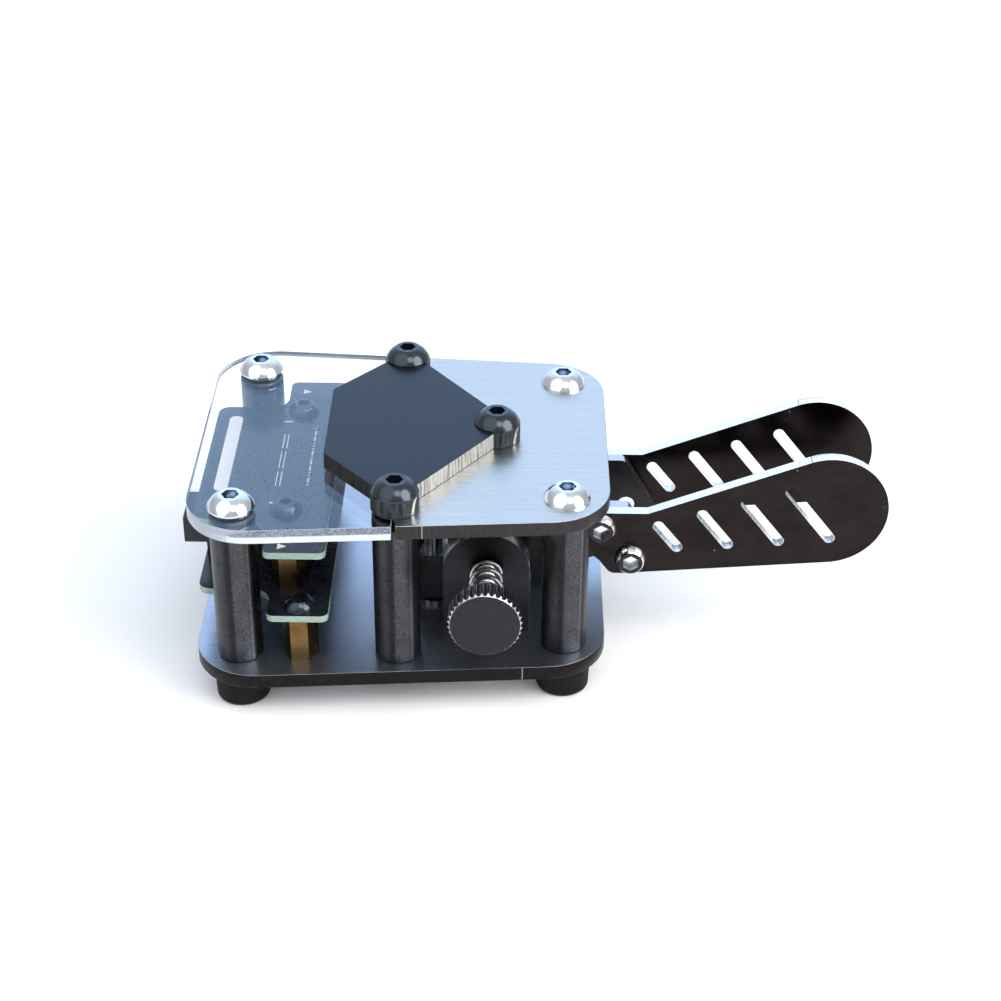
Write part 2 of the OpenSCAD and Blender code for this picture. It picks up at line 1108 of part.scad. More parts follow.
base_plate();
rubber_feet();
foot_screws();
corner_posts();
mid_posts();
mid_post_screws();
steel_top_plate();
acrylic_top_plate();
top_screws();
cover_plate();
cover_screws();
pivot_bearings();
thrust_washers();
bracket_front();
bracket_rear();
bracket_screws();
arm_front();
blade_front();
blade_screws_front();
pivot_pin_front();
rivet_front();
arm_rear();
blade_rear();
blade_screws_rear();
pivot_pin_rear();
rivet_rear();
contact_block();
contact_block_screw();
contact_tip_front();
contact_tip_rear();
return_spring();
knob_front();
rod_front();
collar_front();
jam_spring_front();
knob_rear();
rod_rear();
collar_rear();
jam_spring_rear();
lower_board();
upper_board();
lower_standoffs();
upper_standoffs();
standoff_base_screws();
lower_board_screws();
upper_board_screws();
standoff_under_screws();
jack_socket();
jack_contacts();
header_socket_body();
header_pin_row();
board_resistors();
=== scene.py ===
import math

import bmesh
import bpy
from mathutils import Matrix, Vector


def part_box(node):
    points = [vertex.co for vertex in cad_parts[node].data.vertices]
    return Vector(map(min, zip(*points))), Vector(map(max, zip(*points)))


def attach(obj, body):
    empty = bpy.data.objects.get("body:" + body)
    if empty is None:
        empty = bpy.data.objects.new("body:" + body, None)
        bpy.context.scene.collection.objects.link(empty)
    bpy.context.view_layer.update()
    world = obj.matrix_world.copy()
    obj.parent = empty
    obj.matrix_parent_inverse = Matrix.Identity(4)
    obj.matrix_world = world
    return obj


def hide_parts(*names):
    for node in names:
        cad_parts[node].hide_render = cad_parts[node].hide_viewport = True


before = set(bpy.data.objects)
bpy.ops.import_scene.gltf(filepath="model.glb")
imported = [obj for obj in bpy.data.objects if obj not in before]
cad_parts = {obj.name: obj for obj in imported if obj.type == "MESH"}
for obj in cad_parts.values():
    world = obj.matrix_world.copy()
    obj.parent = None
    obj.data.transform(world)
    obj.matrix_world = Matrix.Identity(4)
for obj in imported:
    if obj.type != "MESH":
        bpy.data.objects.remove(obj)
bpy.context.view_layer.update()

MM = 0.001
FRONT, REAR = -1, 1

# Viewing place in mm, viewing angles in degrees, and the lens
CAMERA_PLACE = (-4.97, -293.38, 207.87)
CAMERA_TURN, CAMERA_TILT, CAMERA_ROLL = -0.204, 32.078, 0.557
LENS, SENSOR = 73.17, 36

# Colour of the surround at some heights, from the horizon to overhead
SURROUND = ((0.0, (0.60, 0.59, 0.575)), (0.35, (0.53, 0.525, 0.515)), (1.0, (0.81, 0.81, 0.81)))
# The panel behind the object: degrees up, degrees from its middle to where it is full and where it ends
PANEL_UP, PANEL_FULL, PANEL_END = 36, 18, 52
PANEL_COLOR = (1.02, 1.32, 1.80, 1)


# ---------- camera, floor and light ----------

def add_camera():
    place = Vector(CAMERA_PLACE) * MM
    azimuth, elevation, roll = (math.radians(a) for a in (CAMERA_TURN, CAMERA_TILT, CAMERA_ROLL))
    forward = Vector((math.sin(azimuth) * math.cos(elevation),
                      math.cos(azimuth) * math.cos(elevation), -math.sin(elevation)))
    right = forward.cross(Vector((0, 0, 1))).normalized()
    up = right.cross(forward)
    right, up = (right * math.cos(roll) + up * math.sin(roll),
                 up * math.cos(roll) - right * math.sin(roll))
    data = bpy.data.cameras.new("camera")
    data.lens = LENS
    data.sensor_width = SENSOR
    data.clip_start = 0.01
    data.clip_end = 50
    camera = bpy.data.objects.new("camera", data)
    camera.matrix_world = Matrix(((right.x, up.x, -forward.x, place.x),
                                  (right.y, up.y, -forward.y, place.y),
                                  (right.z, up.z, -forward.z, place.z),
                                  (0, 0, 0, 1)))
    bpy.context.scene.collection.objects.link(camera)
    bpy.context.scene.camera = camera


def add_light(name, place, size, power, color):
    """A round soft lamp turned towards the middle of the object."""
    data = bpy.data.lights.new(name, "AREA")
    data.shape = "DISK"
    data.size = size
    data.energy = power
    data.color = color
    lamp = bpy.data.objects.new(name, data)
    lamp.location = place
    lamp.rotation_mode = "QUATERNION"
    lamp.rotation_quaternion = (Vector(place) - Vector((0, 0, 0.02))).to_track_quat("Z", "Y")
    bpy.context.scene.collection.objects.link(lamp)


# ---------- node helpers ----------

class Paint:
    """A material being built: every call adds a node and returns its output."""

    def __init__(self, name):
        self.material = bpy.data.materials.new(name)
        self.material.use_nodes = True
        self.tree = self.material.node_tree
        self.shader = self.tree.nodes["Principled BSDF"]
        self.spot = 0
        coordinates = self.node("ShaderNodeTexCoord")
        self.point = coordinates.outputs["Object"]
        self.normal = coordinates.outputs["Normal"]

    def node(self, kind, inputs=(), **settings):
        made = self.tree.nodes.new(kind)
        self.spot += 1
        made.location = (-220 * (self.spot % 12) - 300, 300 - 220 * (self.spot // 12))
        for key, value in settings.items():
            setattr(made, key, value)
        for key, value in dict(inputs).items():
            self.put(made.inputs[key], value)
        return made

    def put(self, socket, value):
        if isinstance(value, bpy.types.NodeSocket):
            self.tree.links.new(value, socket)
        else:
            socket.default_value = value

    @staticmethod
    def opaque(value):
        """A colour of three numbers gets its fourth; anything else is handed back."""
        return (*value, 1) if isinstance(value, tuple) and len(value) == 3 else value

    def math(self, what, a, b=0.0):
        return self.node("ShaderNodeMath", {0: a, 1: b}, operation=what).outputs[0]

    def noise(self, scale, detail=3.0, rough=0.55, offset=(0, 0, 0)):
        """Noise with a separate scale, per millimetre, along each axis."""
        per_metre = tuple(s * 1000 for s in (scale if isinstance(scale, tuple) else (scale,) * 3))
        placed = self.node("ShaderNodeMapping",
                           {"Vector": self.point, "Scale": per_metre, "Location": offset})
        return self.node("ShaderNodeTexNoise", {"Vector": placed.outputs[0], "Scale": 1.0,
                                                "Detail": detail, "Roughness": rough}).outputs[0]

    def spots(self, scale, size):
        """1 inside small round specks scattered through space, else 0."""
        placed = self.node("ShaderNodeMapping", {"Vector": self.point, "Scale": (scale * 1000,) * 3})
        cells = self.node("ShaderNodeTexVoronoi", {"Vector": placed.outputs[0], "Scale": 1.0})
        return self.steps(cells.outputs["Distance"], size, size * 0.6)

    def steps(self, value, start, end, low=0.0, high=1.0):
        """value carried from start..end to low..high, held at the ends."""
        return self.node("ShaderNodeMapRange", {"Value": value, "From Min": start, "From Max": end,
                                                "To Min": low, "To Max": high}).outputs[0]

    def ramp(self, value, stops):
        """Grey level read off a list of (place, level) stops."""
        made = self.node("ShaderNodeValToRGB", {0: value})
        marks = made.color_ramp.elements
        while len(marks) < len(stops):
            marks.new(0.5)
        for mark, (place, level) in zip(marks, stops):
            mark.position = place
            mark.color = (level, level, level, 1)
        return made.outputs[0]

    def mix(self, share, a, b):
        made = self.node("ShaderNodeMix", data_type="RGBA")
        for key, value in ((0, share), (6, a), (7, b)):
            self.put(made.inputs[key], self.opaque(value))
        return made.outputs[2]

    def blend(self, share, a, b):
        return self.node("ShaderNodeMix", {0: share, 2: a, 3: b}).outputs[0]

    def axis(self, vector, which):
        return self.node("ShaderNodeSeparateXYZ", {0: vector}).outputs[which]

    def facing(self, which, start=0.6, end=0.8):
        """1 where the surface faces along the axis, either way, else 0."""
        return self.steps(self.math("ABSOLUTE", self.axis(self.normal, which)), start, end)

    def near(self, which, millimetres, width):
        """1 in a thin band at that place along the axis, else 0."""
        gap = self.math("ABSOLUTE", self.math("SUBTRACT", self.axis(self.point, which), millimetres * MM))
        return self.steps(gap, width * MM, width * 0.5 * MM)

    def pocket_shade(self, reach):
        """1 in the open, down to 0 in a pocket narrower than reach: a mask for painting shade into pockets.
        """
        hollow = self.node("ShaderNodeAmbientOcclusion", {"Distance": reach * MM}, samples=6, only_local=True)
        return self.steps(hollow.outputs["AO"], 0.35, 0.9)

    def bump(self, height, depth, strength):
        made = self.node("ShaderNodeBump", {"Height": height, "Distance": depth * MM, "Strength": strength})
        self.put(self.shader.inputs["Normal"], made.outputs[0])

    def set(self, **inputs):
        names = {"color": "Base Color", "metal": "Metallic", "rough": "Roughness",
                 "gloss": "Specular IOR Level", "tint": "Specular Tint", "index": "IOR",
                 "clear": "Transmission Weight", "coat": "Coat Weight", "coat_rough": "Coat Roughness"}
        for key, value in inputs.items():
            self.put(self.shader.inputs[names[key]], self.opaque(value))
        return self.material


# ---------- materials ----------

# Painted reflection: brightness painted across a blasted bar by which way its surface faces, from its left
# side to its right side
PAINTED_REFLECTION_BANDS = ((0.03, 0.06), (0.07, 0.33), (0.125, 0.25), (0.29, 0.22), (0.375, 0.12), (0.45, 0.12),
             (0.5, 0.33), (0.75, 0.37), (0.8, 0.3), (0.835, 0.6), (0.865, 0.14), (0.92, 0.08),
             (0.95, 0.25), (0.985, 0.06))
# Width in mm of the mark where a cutter entered a sheet
WITNESS_WIDTH = 0.08


def scaled(color, factor):
    return tuple(c * factor for c in color)


def plate_steel(name, face, streak_tone, cut, witness, haze=0.0):
    """Sheet steel: faces brushed along X, sides cut with fine upright lines and dark, partly the cut edge's
    own tone and partly a painted dark reflection.

    witness is the place along X, in mm, of the cutter's mark on the front side.
    """
    p = Paint(name)
    flat = p.facing(2)
    fine = p.noise((0.2, 20, 20), 4)
    broad = p.noise((0.04, 2.4, 2.4), 2, offset=(3, 1, 2))
    cloud = p.noise(0.08, 2, offset=(5, 5, 5))
    streak = p.blend(0.25, fine, broad)
    face_color = p.mix(p.steps(streak, 0.36, 0.64), face, streak_tone)
    lines = p.noise((9, 9, 0.6), 3, offset=(1, 7, 4))
    # the dark cut colour is partly the cut edge's own tone and partly a painted dark reflection on the
    # upright sides
    cut_color = p.mix(p.steps(lines, 0.35, 0.7), cut, scaled(cut, 1.9))
    in_front = p.math("LESS_THAN", p.axis(p.normal, 1), 0.0)
    mark = p.math("MULTIPLY", in_front, p.near(0, witness, WITNESS_WIDTH))
    cut_color = p.mix(mark, cut_color, (0.42, 0.42, 0.41))
    brushed = p.math("ADD", p.steps(streak, 0.35, 0.65, 0.2 + haze, 0.32 + haze),
                     p.steps(cloud, 0.3, 0.7, 0.0, 0.06))
    rough = p.blend(flat, p.steps(lines, 0.3, 0.7, 0.34, 0.5), brushed)
    p.bump(p.blend(flat, lines, fine), 0.02, 0.35)
    return p.set(color=p.mix(flat, cut_color, face_color), metal=1.0, rough=rough)


def blasted(name, tone):
    """Bead-blasted steel bar: a grain of small dents over upright bands of painted reflection, set by which
    way the surface faces.

    tone is multiplied by four because the bands' levels lie near a quarter.
    """
    p = Paint(name)
    grain = p.noise(5.5, 3, 0.7)
    wide = p.noise(0.35, 2, offset=(2, 9, 4))
    across = p.steps(p.axis(p.normal, 0), -1.0, 1.0)
    # painted reflection: the bar is lighter and darker in upright bands by the way its surface faces
    bands = p.ramp(across, PAINTED_REFLECTION_BANDS)
    speckle = p.math("MULTIPLY", p.steps(grain, 0.36, 0.64, 0.45, 1.6),
                     p.steps(wide, 0.3, 0.7, 0.85, 1.15))
    color = p.mix(p.math("MULTIPLY", bands, speckle), (0, 0, 0), scaled(tone, 4))
    p.bump(grain, 0.07, 0.6)
    return p.set(color=color, metal=1.0, rough=p.steps(wide, 0.3, 0.7, 0.26, 0.35))


def polished(name, tone, painted_socket_shade, ring_reach=None):
    """Bright screw head with faint turning marks and painted shade darkening its key socket.

    A head further out than ring_reach from the middle plane has its flat ring painted near black, a painted
    reflection of the dark surroundings.
    """
    p = Paint(name)
    grain = p.noise(1.8, 3)
    dirt = p.noise(0.7, 4, offset=(4, 2, 6))
    unshaded_share = p.pocket_shade(1.1)
    specks = p.math("MULTIPLY", p.spots(0.55, 0.09), 0.7)
    bright = p.mix(p.steps(grain, 0.3, 0.7), tone, tuple(min(1, c * 1.07) for c in tone))
    if ring_reach is not None:
        # painted reflection: the flat ring is painted near black where it mirrors dark surroundings
        across = p.math("ABSOLUTE", p.axis(p.point, 1))
        ring = p.math("GREATER_THAN", across, ring_reach - 0.06 * MM)
        bright = p.mix(ring, bright, (0.035, 0.035, 0.04))
    # painted shade: the key socket takes the dark socket colour where the pocket mask is low
    color = p.mix(specks, p.mix(unshaded_share, painted_socket_shade, bright), (0.04, 0.04, 0.045))
    p.bump(grain, 0.01, 0.2)
    return p.set(color=color, metal=1.0, rough=p.steps(dirt, 0.45, 0.8, 0.1, 0.22))


def blackened(name, tone):
    """Black oxide screw: oily sheen, greyer where the edges are rubbed."""
    p = Paint(name)
    grain = p.noise(2.4, 4)
    rub = p.noise(0.9, 3, offset=(8, 1, 3))
    color = p.mix(p.steps(rub, 0.55, 0.8), tone, tuple(c * 1.8 + 0.002 for c in tone))
    p.bump(grain, 0.008, 0.25)
    return p.set(color=color, metal=0.0, rough=p.steps(grain, 0.3, 0.7, 0.14, 0.23),
                 gloss=0.75, tint=(0.62, 0.80, 1.0), coat=0.2, coat_rough=0.1)


def dark_reflection_sheet(name, face, cut, rough, witness=None, speck=0.0, cut_metal=1.0):
    """Mirror-finished upright sheet whose faces are painted near black, a painted reflection of dark
    surroundings, and whose cut edges are bare and bright.
    """
    p = Paint(name)
    flat = p.facing(1, 0.86, 0.95)
    haze = p.noise((0.16, 0.16, 0.3), 4, offset=(1, 4, 2))
    scratch = p.noise((0.5, 6, 11), 3, offset=(9, 3, 7))
    lines = p.noise((7, 0.8, 7), 3)
    # painted reflection: the face colour is kept near black where the mirror faces reflect dark surroundings
    body = p.mix(p.steps(haze, 0.35, 0.75), face, scaled(face, 1.6))
    body = p.mix(p.steps(scratch, 0.66, 0.76, 0, 0.35), body, scaled(face, 3))
    if speck:
        body = p.mix(p.spots(0.25, speck), body, (0.42, 0.40, 0.38))
    edge = p.mix(p.steps(lines, 0.32, 0.7), scaled(cut, 0.86), cut)
    if witness is not None:
        edge = p.mix(p.near(0, witness, WITNESS_WIDTH), edge, (0.08, 0.08, 0.085))
    p.bump(p.blend(flat, lines, scratch), 0.012, 0.25)
    cut_rough = p.steps(lines, 0.3, 0.7, 0.2, 0.36)
    face_rough = p.steps(haze, 0.3, 0.7, rough, rough + 0.1)
    return p.set(color=p.mix(flat, edge, body), metal=p.blend(flat, cut_metal, 1.0),
                 rough=p.blend(flat, cut_rough, face_rough))


def cover_finish(name):
    """Satin black face; sides black at the jack end and bare, with upright lines, at the blade end; the bare
    sides face +X, towards the key lamp, so this contrast is partly a two-tone finish and partly painted light
    and shade.
    """
    p = Paint(name)
    flat = p.facing(2)
    grain = p.noise(6, 3, 0.6)
    face = p.mix(p.steps(grain, 0.35, 0.7), (0.006, 0.008, 0.013), (0.009, 0.012, 0.018))
    lines = p.noise((2.6, 2.6, 0.12), 4, 0.7, offset=(6, 2, 8))
    bare = p.mix(p.steps(lines, 0.38, 0.5), (0.24, 0.23, 0.22), (0.95, 0.93, 0.90))
    # the bare sides are the two straight ones that meet at the nose, short of the screw ears; they face +X,
    # and their brightness against the black sides is partly painted light
    slant = p.math("ABSOLUTE", p.axis(p.normal, 0))
    straight = p.math("MULTIPLY", p.steps(slant, 0.74, 0.77), p.steps(slant, 0.86, 0.84))
    ahead = p.math("GREATER_THAN", p.axis(p.normal, 0), 0.0)
    rim = p.math("MULTIPLY", straight, ahead)
    # partly painted shade: the other sides are painted black
    dark = p.mix(p.steps(lines, 0.4, 0.6), (0.010, 0.010, 0.011), (0.055, 0.052, 0.050))
    side = p.mix(rim, dark, bare)
    p.bump(p.blend(flat, lines, grain), 0.02, 0.3)
    return p.set(color=p.mix(flat, side, face),
                 metal=p.math("MULTIPLY", rim, p.math("SUBTRACT", 1.0, flat)),
                 rough=p.blend(flat, 0.42, p.steps(grain, 0.3, 0.7, 0.2, 0.28)),
                 gloss=0.31, tint=(0.40, 0.70, 1.0))


def clear_sheet(name):
    """Acrylic: clear faces, sawn sides that are greyish in the upper half of the sheet."""
    p = Paint(name)
    flat = p.facing(2, 0.8, 0.95)
    saw = p.noise((2.8, 5, 5), 3, 0.7)
    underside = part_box("acrylic_top_plate")[0].z
    upper = p.steps(p.axis(p.point, 2), underside + 1.05 * MM, underside + 1.3 * MM)
    straight = p.steps(p.axis(p.normal, 1), -0.95, -0.985)
    speckled = p.mix(p.steps(saw, 0.4, 0.58), (0.09, 0.10, 0.14), (0.42, 0.44, 0.52))
    sawn = p.mix(upper, (0.93, 0.94, 0.96), speckled)
    side = p.mix(straight, (0.80, 0.82, 0.92), sawn)
    wipe = p.noise(0.12, 4, offset=(7, 7, 2))
    p.bump(saw, 0.02, p.math("MULTIPLY", p.math("SUBTRACT", 1.0, flat), 0.5))
    return p.set(color=p.mix(flat, side, (0.93, 0.935, 0.94)),
                 clear=p.blend(flat, p.blend(straight, 0.5, 0.25), 1.0),
                 index=1.49, gloss=0.85, tint=(0.25, 0.70, 1.0),
                 rough=p.blend(flat, p.blend(straight, 0.15, 0.4), p.steps(wipe, 0.45, 0.75, 0.0, 0.03)))


def board_finish(name):
    """Black solder mask with the copper runs just showing, and a glass-fibre edge."""
    p = Paint(name)
    flat = p.facing(2)
    weave = p.noise((2.2, 2.2, 6), 2)
    runs = p.node("ShaderNodeTexVoronoi", {"Vector": p.point, "Scale": 240.0}, distance="MANHATTAN")
    copper = p.steps(runs.outputs["Distance"], 0.42, 0.46)
    mask = p.mix(copper, (0.006, 0.008, 0.013), (0.011, 0.015, 0.024))
    layers = p.noise((0.8, 0.8, 16), 2, offset=(2, 2, 2))
    edge = p.mix(p.steps(layers, 0.35, 0.65), (0.20, 0.30, 0.25), (0.38, 0.50, 0.43))
    relief = p.math("ADD", p.math("MULTIPLY", copper, 0.7), p.math("MULTIPLY", weave, 0.3))
    p.bump(p.blend(flat, layers, relief), 0.02, 0.4)
    return p.set(color=p.mix(flat, edge, mask), metal=0.0, gloss=0.5,
                 rough=p.blend(flat, 0.55, p.steps(weave, 0.3, 0.7, 0.2, 0.3)))


def turned(name, tone, rough):
    """Plain turned or drawn metal with fine rings and slight tarnish."""
    p = Paint(name)
    rings = p.noise((3, 3, 9), 3)
    tarnish = p.noise(0.5, 3, offset=(4, 4, 1))
    shade = p.mix(p.steps(rings, 0.35, 0.65), scaled(tone, 0.8), tone)
    color = p.mix(p.steps(tarnish, 0.5, 0.8), shade, scaled(tone, 0.55))
    p.bump(rings, 0.015, 0.3)
    return p.set(color=color, metal=1.0, rough=p.steps(tarnish, 0.3, 0.7, rough, rough + 0.12))


def knob_finish(name):
    """Turned face painted near black as a painted reflection of dark surroundings, bright bevel, and teeth
    with painted shade darkening towards their roots.
    """
    p = Paint(name)
    low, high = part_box("knob_front")
    centre_x, centre_z = (low.x + high.x) / 2, (low.z + high.z) / 2
    flat = p.facing(1, 0.93, 0.97)
    across = p.math("SUBTRACT", p.axis(p.point, 0), centre_x)
    upwards = p.math("SUBTRACT", p.axis(p.point, 2), centre_z)
    squares = p.math("ADD", p.math("MULTIPLY", across, across), p.math("MULTIPLY", upwards, upwards))
    radius = p.math("SQRT", squares)
    ring_spacing = 0.12 * MM
    rings = p.math("SINE", p.math("MULTIPLY", radius, 2 * math.pi / ring_spacing))
    grain = p.noise(2.5, 3)
    # painted reflection: the upright face is painted near black where it mirrors dark surroundings
    face = p.mix(p.steps(grain, 0.3, 0.7), (0.030, 0.030, 0.034), (0.043, 0.042, 0.047))
    slope = p.math("ABSOLUTE", p.axis(p.normal, 1))
    bevel = p.math("MULTIPLY", p.steps(slope, 0.45, 0.6), p.math("SUBTRACT", 1.0, flat))
    # painted shade: the teeth darken towards their roots by the pocket mask
    shaded_tooth = p.mix(p.pocket_shade(0.5), (0.015, 0.015, 0.017), (0.33, 0.33, 0.35))
    color = p.mix(flat, p.mix(bevel, shaded_tooth, (0.52, 0.53, 0.56)), face)
    p.bump(p.math("ADD", p.math("MULTIPLY", rings, 0.3), grain), 0.006, p.math("MULTIPLY", flat, 0.5))
    return p.set(color=color, metal=1.0, rough=p.blend(flat, 0.24, 0.42))


def moulded(name, tone, rough, grain_size=3.5, depth=0.03, gloss=0.4):
    """Moulded plastic or rubber with a fine spark-eroded grain."""
    p = Paint(name)
    grain = p.noise(grain_size, 3, 0.6)
    scuff = p.noise(0.5, 4, offset=(2, 6, 3))
    # white can't be rubbed lighter than white
    rubbed = tuple(min(0.96, c * 1.7 + 0.002) for c in tone)
    color = p.mix(p.steps(scuff, 0.45, 0.8), tone, rubbed)
    p.bump(grain, depth, 0.5)
    return p.set(color=color, metal=0.0, rough=p.steps(grain, 0.3, 0.7, rough, rough + 0.15), gloss=gloss)


MATERIALS = {
    "base_plate": plate_steel("base_steel", (0.38, 0.43, 0.52), (0.52, 0.57, 0.66), (0.014, 0.0125, 0.013),
                              witness=-2.1, haze=0.05),
    "steel_top_plate": plate_steel("top_steel", (0.46, 0.465, 0.45), (0.60, 0.60, 0.58),
                                   (0.034, 0.031, 0.032), witness=-18.1),
    "blasted": blasted("blasted_posts", (0.050, 0.050, 0.055)),
    "bright": polished("bright_screws", (0.70, 0.755, 0.83), (0.03, 0.032, 0.04)),
    "bright_side": polished("bright_side_screws", (0.80, 0.83, 0.87), (0.45, 0.46, 0.48),
                            ring_reach=-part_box("blade_screws_front")[0].y),
    "black_screw": blackened("black_screws", (0.006, 0.008, 0.012)),
    "blade": dark_reflection_sheet("blade_mirror", (0.0185, 0.0145, 0.0145), (0.86, 0.90, 0.95), 0.16,
                        witness=44.5, speck=0.03, cut_metal=0.55),
    "arm": dark_reflection_sheet("arm_steel", (0.030, 0.029, 0.031), (0.60, 0.62, 0.66), 0.3),
    "bracket": dark_reflection_sheet("bracket_steel_finish", (0.022, 0.022, 0.025), (0.45, 0.46, 0.50), 0.3),
    "cover": cover_finish("cover_black"),
    "acrylic": clear_sheet("acrylic_clear"),
    "board": board_finish("board_mask"),
    "brass": turned("brass_turned", (0.20, 0.12, 0.048), 0.2),
    "gold": turned("gold_flash", (0.80, 0.62, 0.26), 0.25),
    "silver": turned("silver_dull", (0.80, 0.79, 0.75), 0.3),
    "spring": turned("spring_wire", (0.52, 0.52, 0.54), 0.14),
    "ground": turned("ground_steel", (0.22, 0.22, 0.24), 0.2),
    "rod": turned("rod_steel", (0.40, 0.40, 0.42), 0.2),
    "knob": knob_finish("knob_turned"),
    "rubber": moulded("rubber_feet_moulded", (0.0065, 0.0057, 0.0057), 0.55, 2.5, 0.05, 0.15),
    "plastic": moulded("black_moulding", (0.009, 0.010, 0.012), 0.42),
    "chip": moulded("chip_glaze", (0.014, 0.014, 0.016), 0.25, 6, 0.01),
    "ink": moulded("white_ink", (0.94, 0.95, 0.96), 0.45, 4, 0.01),
}

NODE_FINISH = {
    "base_plate": "base_plate", "steel_top_plate": "steel_top_plate", "acrylic_top_plate": "acrylic",
    "corner_posts": "blasted", "mid_posts": "blasted", "cover_plate": "cover", "rubber_feet": "rubber",
    "foot_screws": "bright", "top_screws": "bright",
    "blade_screws_front": "bright_side", "blade_screws_rear": "bright_side",
    "mid_post_screws": "black_screw", "cover_screws": "black_screw", "bracket_screws": "black_screw",
    "contact_block_screw": "black_screw", "standoff_base_screws": "black_screw",
    "standoff_under_screws": "black_screw",
    "lower_board_screws": "black_screw", "upper_board_screws": "black_screw",
    "pivot_bearings": "ground", "thrust_washers": "ground",
    "pivot_pin_front": "ground", "pivot_pin_rear": "ground",
    "bracket_front": "bracket", "bracket_rear": "bracket", "arm_front": "arm", "arm_rear": "arm",
    "blade_front": "blade", "blade_rear": "blade", "rivet_front": "silver", "rivet_rear": "silver",
    "contact_block": "plastic", "contact_tip_front": "brass", "contact_tip_rear": "brass",
    "return_spring": "spring", "jam_spring_front": "spring", "jam_spring_rear": "spring",
    "knob_front": "knob", "knob_rear": "knob", "rod_front": "rod", "rod_rear": "rod",
    "collar_front": "spring", "collar_rear": "spring",
    "lower_board": "board", "upper_board": "board",
    "lower_standoffs": "brass", "upper_standoffs": "brass",
    "jack_socket": "plastic", "jack_contacts": "gold",
    "header_socket_body": "plastic", "header_pin_row": "gold", "board_resistors": "chip",
}

# Small rounding, in mm, on the edges of sheet parts
EDGE_ROUNDING = {
    "base_plate": 0.16, "steel_top_plate": 0.16, "acrylic_top_plate": 0.1, "cover_plate": 0.12,
    "blade_front": 0.1, "blade_rear": 0.1, "bracket_front": 0.15, "bracket_rear": 0.15,
    "jack_socket": 0.12, "header_socket_body": 0.1, "contact_block": 0.15,
    "lower_board": 0.05, "upper_board": 0.05,
}
# Points nearer than this, in mm, are joined; faces within this many degrees are one flat; sharper is an edge
WELD_REACH, FLAT_ANGLE, EDGE_ANGLE = 0.0005, 0.2, 40


def dress_nodes():
    for name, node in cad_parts.items():
        for slot in node.material_slots:
            slot.material = MATERIALS[NODE_FINISH[name]]
        if name in EDGE_ROUNDING:
            weld = node.modifiers.new("weld", "WELD")
            weld.merge_threshold = WELD_REACH * MM
            flatten = node.modifiers.new("flatten", "DECIMATE")
            flatten.decimate_type = "DISSOLVE"
            flatten.angle_limit = math.radians(FLAT_ANGLE)
            bevel = node.modifiers.new("bevel", "BEVEL")
            bevel.width = EDGE_ROUNDING[name] * MM
            bevel.segments = 2
            bevel.limit_method = "ANGLE"
            bevel.angle_limit = math.radians(EDGE_ANGLE)
            bevel.harden_normals = True


# ---------- new pieces ----------

def piece(name, mesh, material, body, smooth=True):
    made = bpy.data.objects.new(name, mesh)
    bpy.context.scene.collection.objects.link(made)
    made.data.materials.append(MATERIALS[material])
    if smooth:
        for face in mesh.polygons:
            face.use_smooth = True
    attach(made, body)
    return made


def close(bm, name):
    bmesh.ops.recalc_face_normals(bm, faces=bm.faces)
    mesh = bpy.data.meshes.new(name)
    bm.to_mesh(mesh)
    bm.free()
    return mesh


def bar_outline(centre, length, width, along_y=True, rounded=True):
    """Corner points of a flat bar, with round or square ends."""
    reach, r = length / 2 - width / 2, width / 2
    arc_steps = 8
    if rounded:
        points = []
        for shift, start in ((reach, 0), (-reach, math.pi)):
            for i in range(arc_steps + 1):
                angle = start - math.pi / 2 + math.pi * i / arc_steps
                points.append((shift + r * math.cos(angle), r * math.sin(angle)))
    else:
        points = [(length / 2, -r), (length / 2, r), (-length / 2, r), (-length / 2, -r)]
    if along_y:
        return [(centre[0] - b, centre[1] + a) for a, b in points]
    return [(centre[0] + a, centre[1] + b) for a, b in points]


def stamp(bm, outline, z, height):
    """A flat raised shape: outline in mm, extruded up from z."""
    bottom = [bm.verts.new(Vector((x, y, z)) * MM) for x, y in outline]
    top = [bm.verts.new(Vector((x, y, z + height)) * MM) for x, y in outline]
    n = len(outline)
    bm.faces.new(top)
    bm.faces.new(bottom[::-1])
    for i in range(n):
        bm.faces.new((bottom[i], bottom[(i + 1) % n], top[(i + 1) % n], top[i]))


def revolve(bm, centre, profile):
    """A turned shape about a vertical line: profile is (radius, z) pairs in mm."""
    sides = 28
    rings = []
    for radius, z in profile:
        ring = []
        for i in range(sides):
            angle = 2 * math.pi * i / sides
            place = Vector((centre[0] + radius * math.cos(angle), centre[1] + radius * math.sin(angle), z))
            ring.append(bm.verts.new(place * MM))
        rings.append(ring)
    bridge(bm, rings)
    bm.faces.new(rings[0][::-1])
    bm.faces.new(rings[-1])


def bridge(bm, rings):
    """Faces between each ring of points and the next."""
    for lower, upper in zip(rings, rings[1:]):
        for i in range(len(lower)):
            k = (i + 1) % len(lower)
            bm.faces.new((lower[i], lower[k], upper[k], upper[i]))


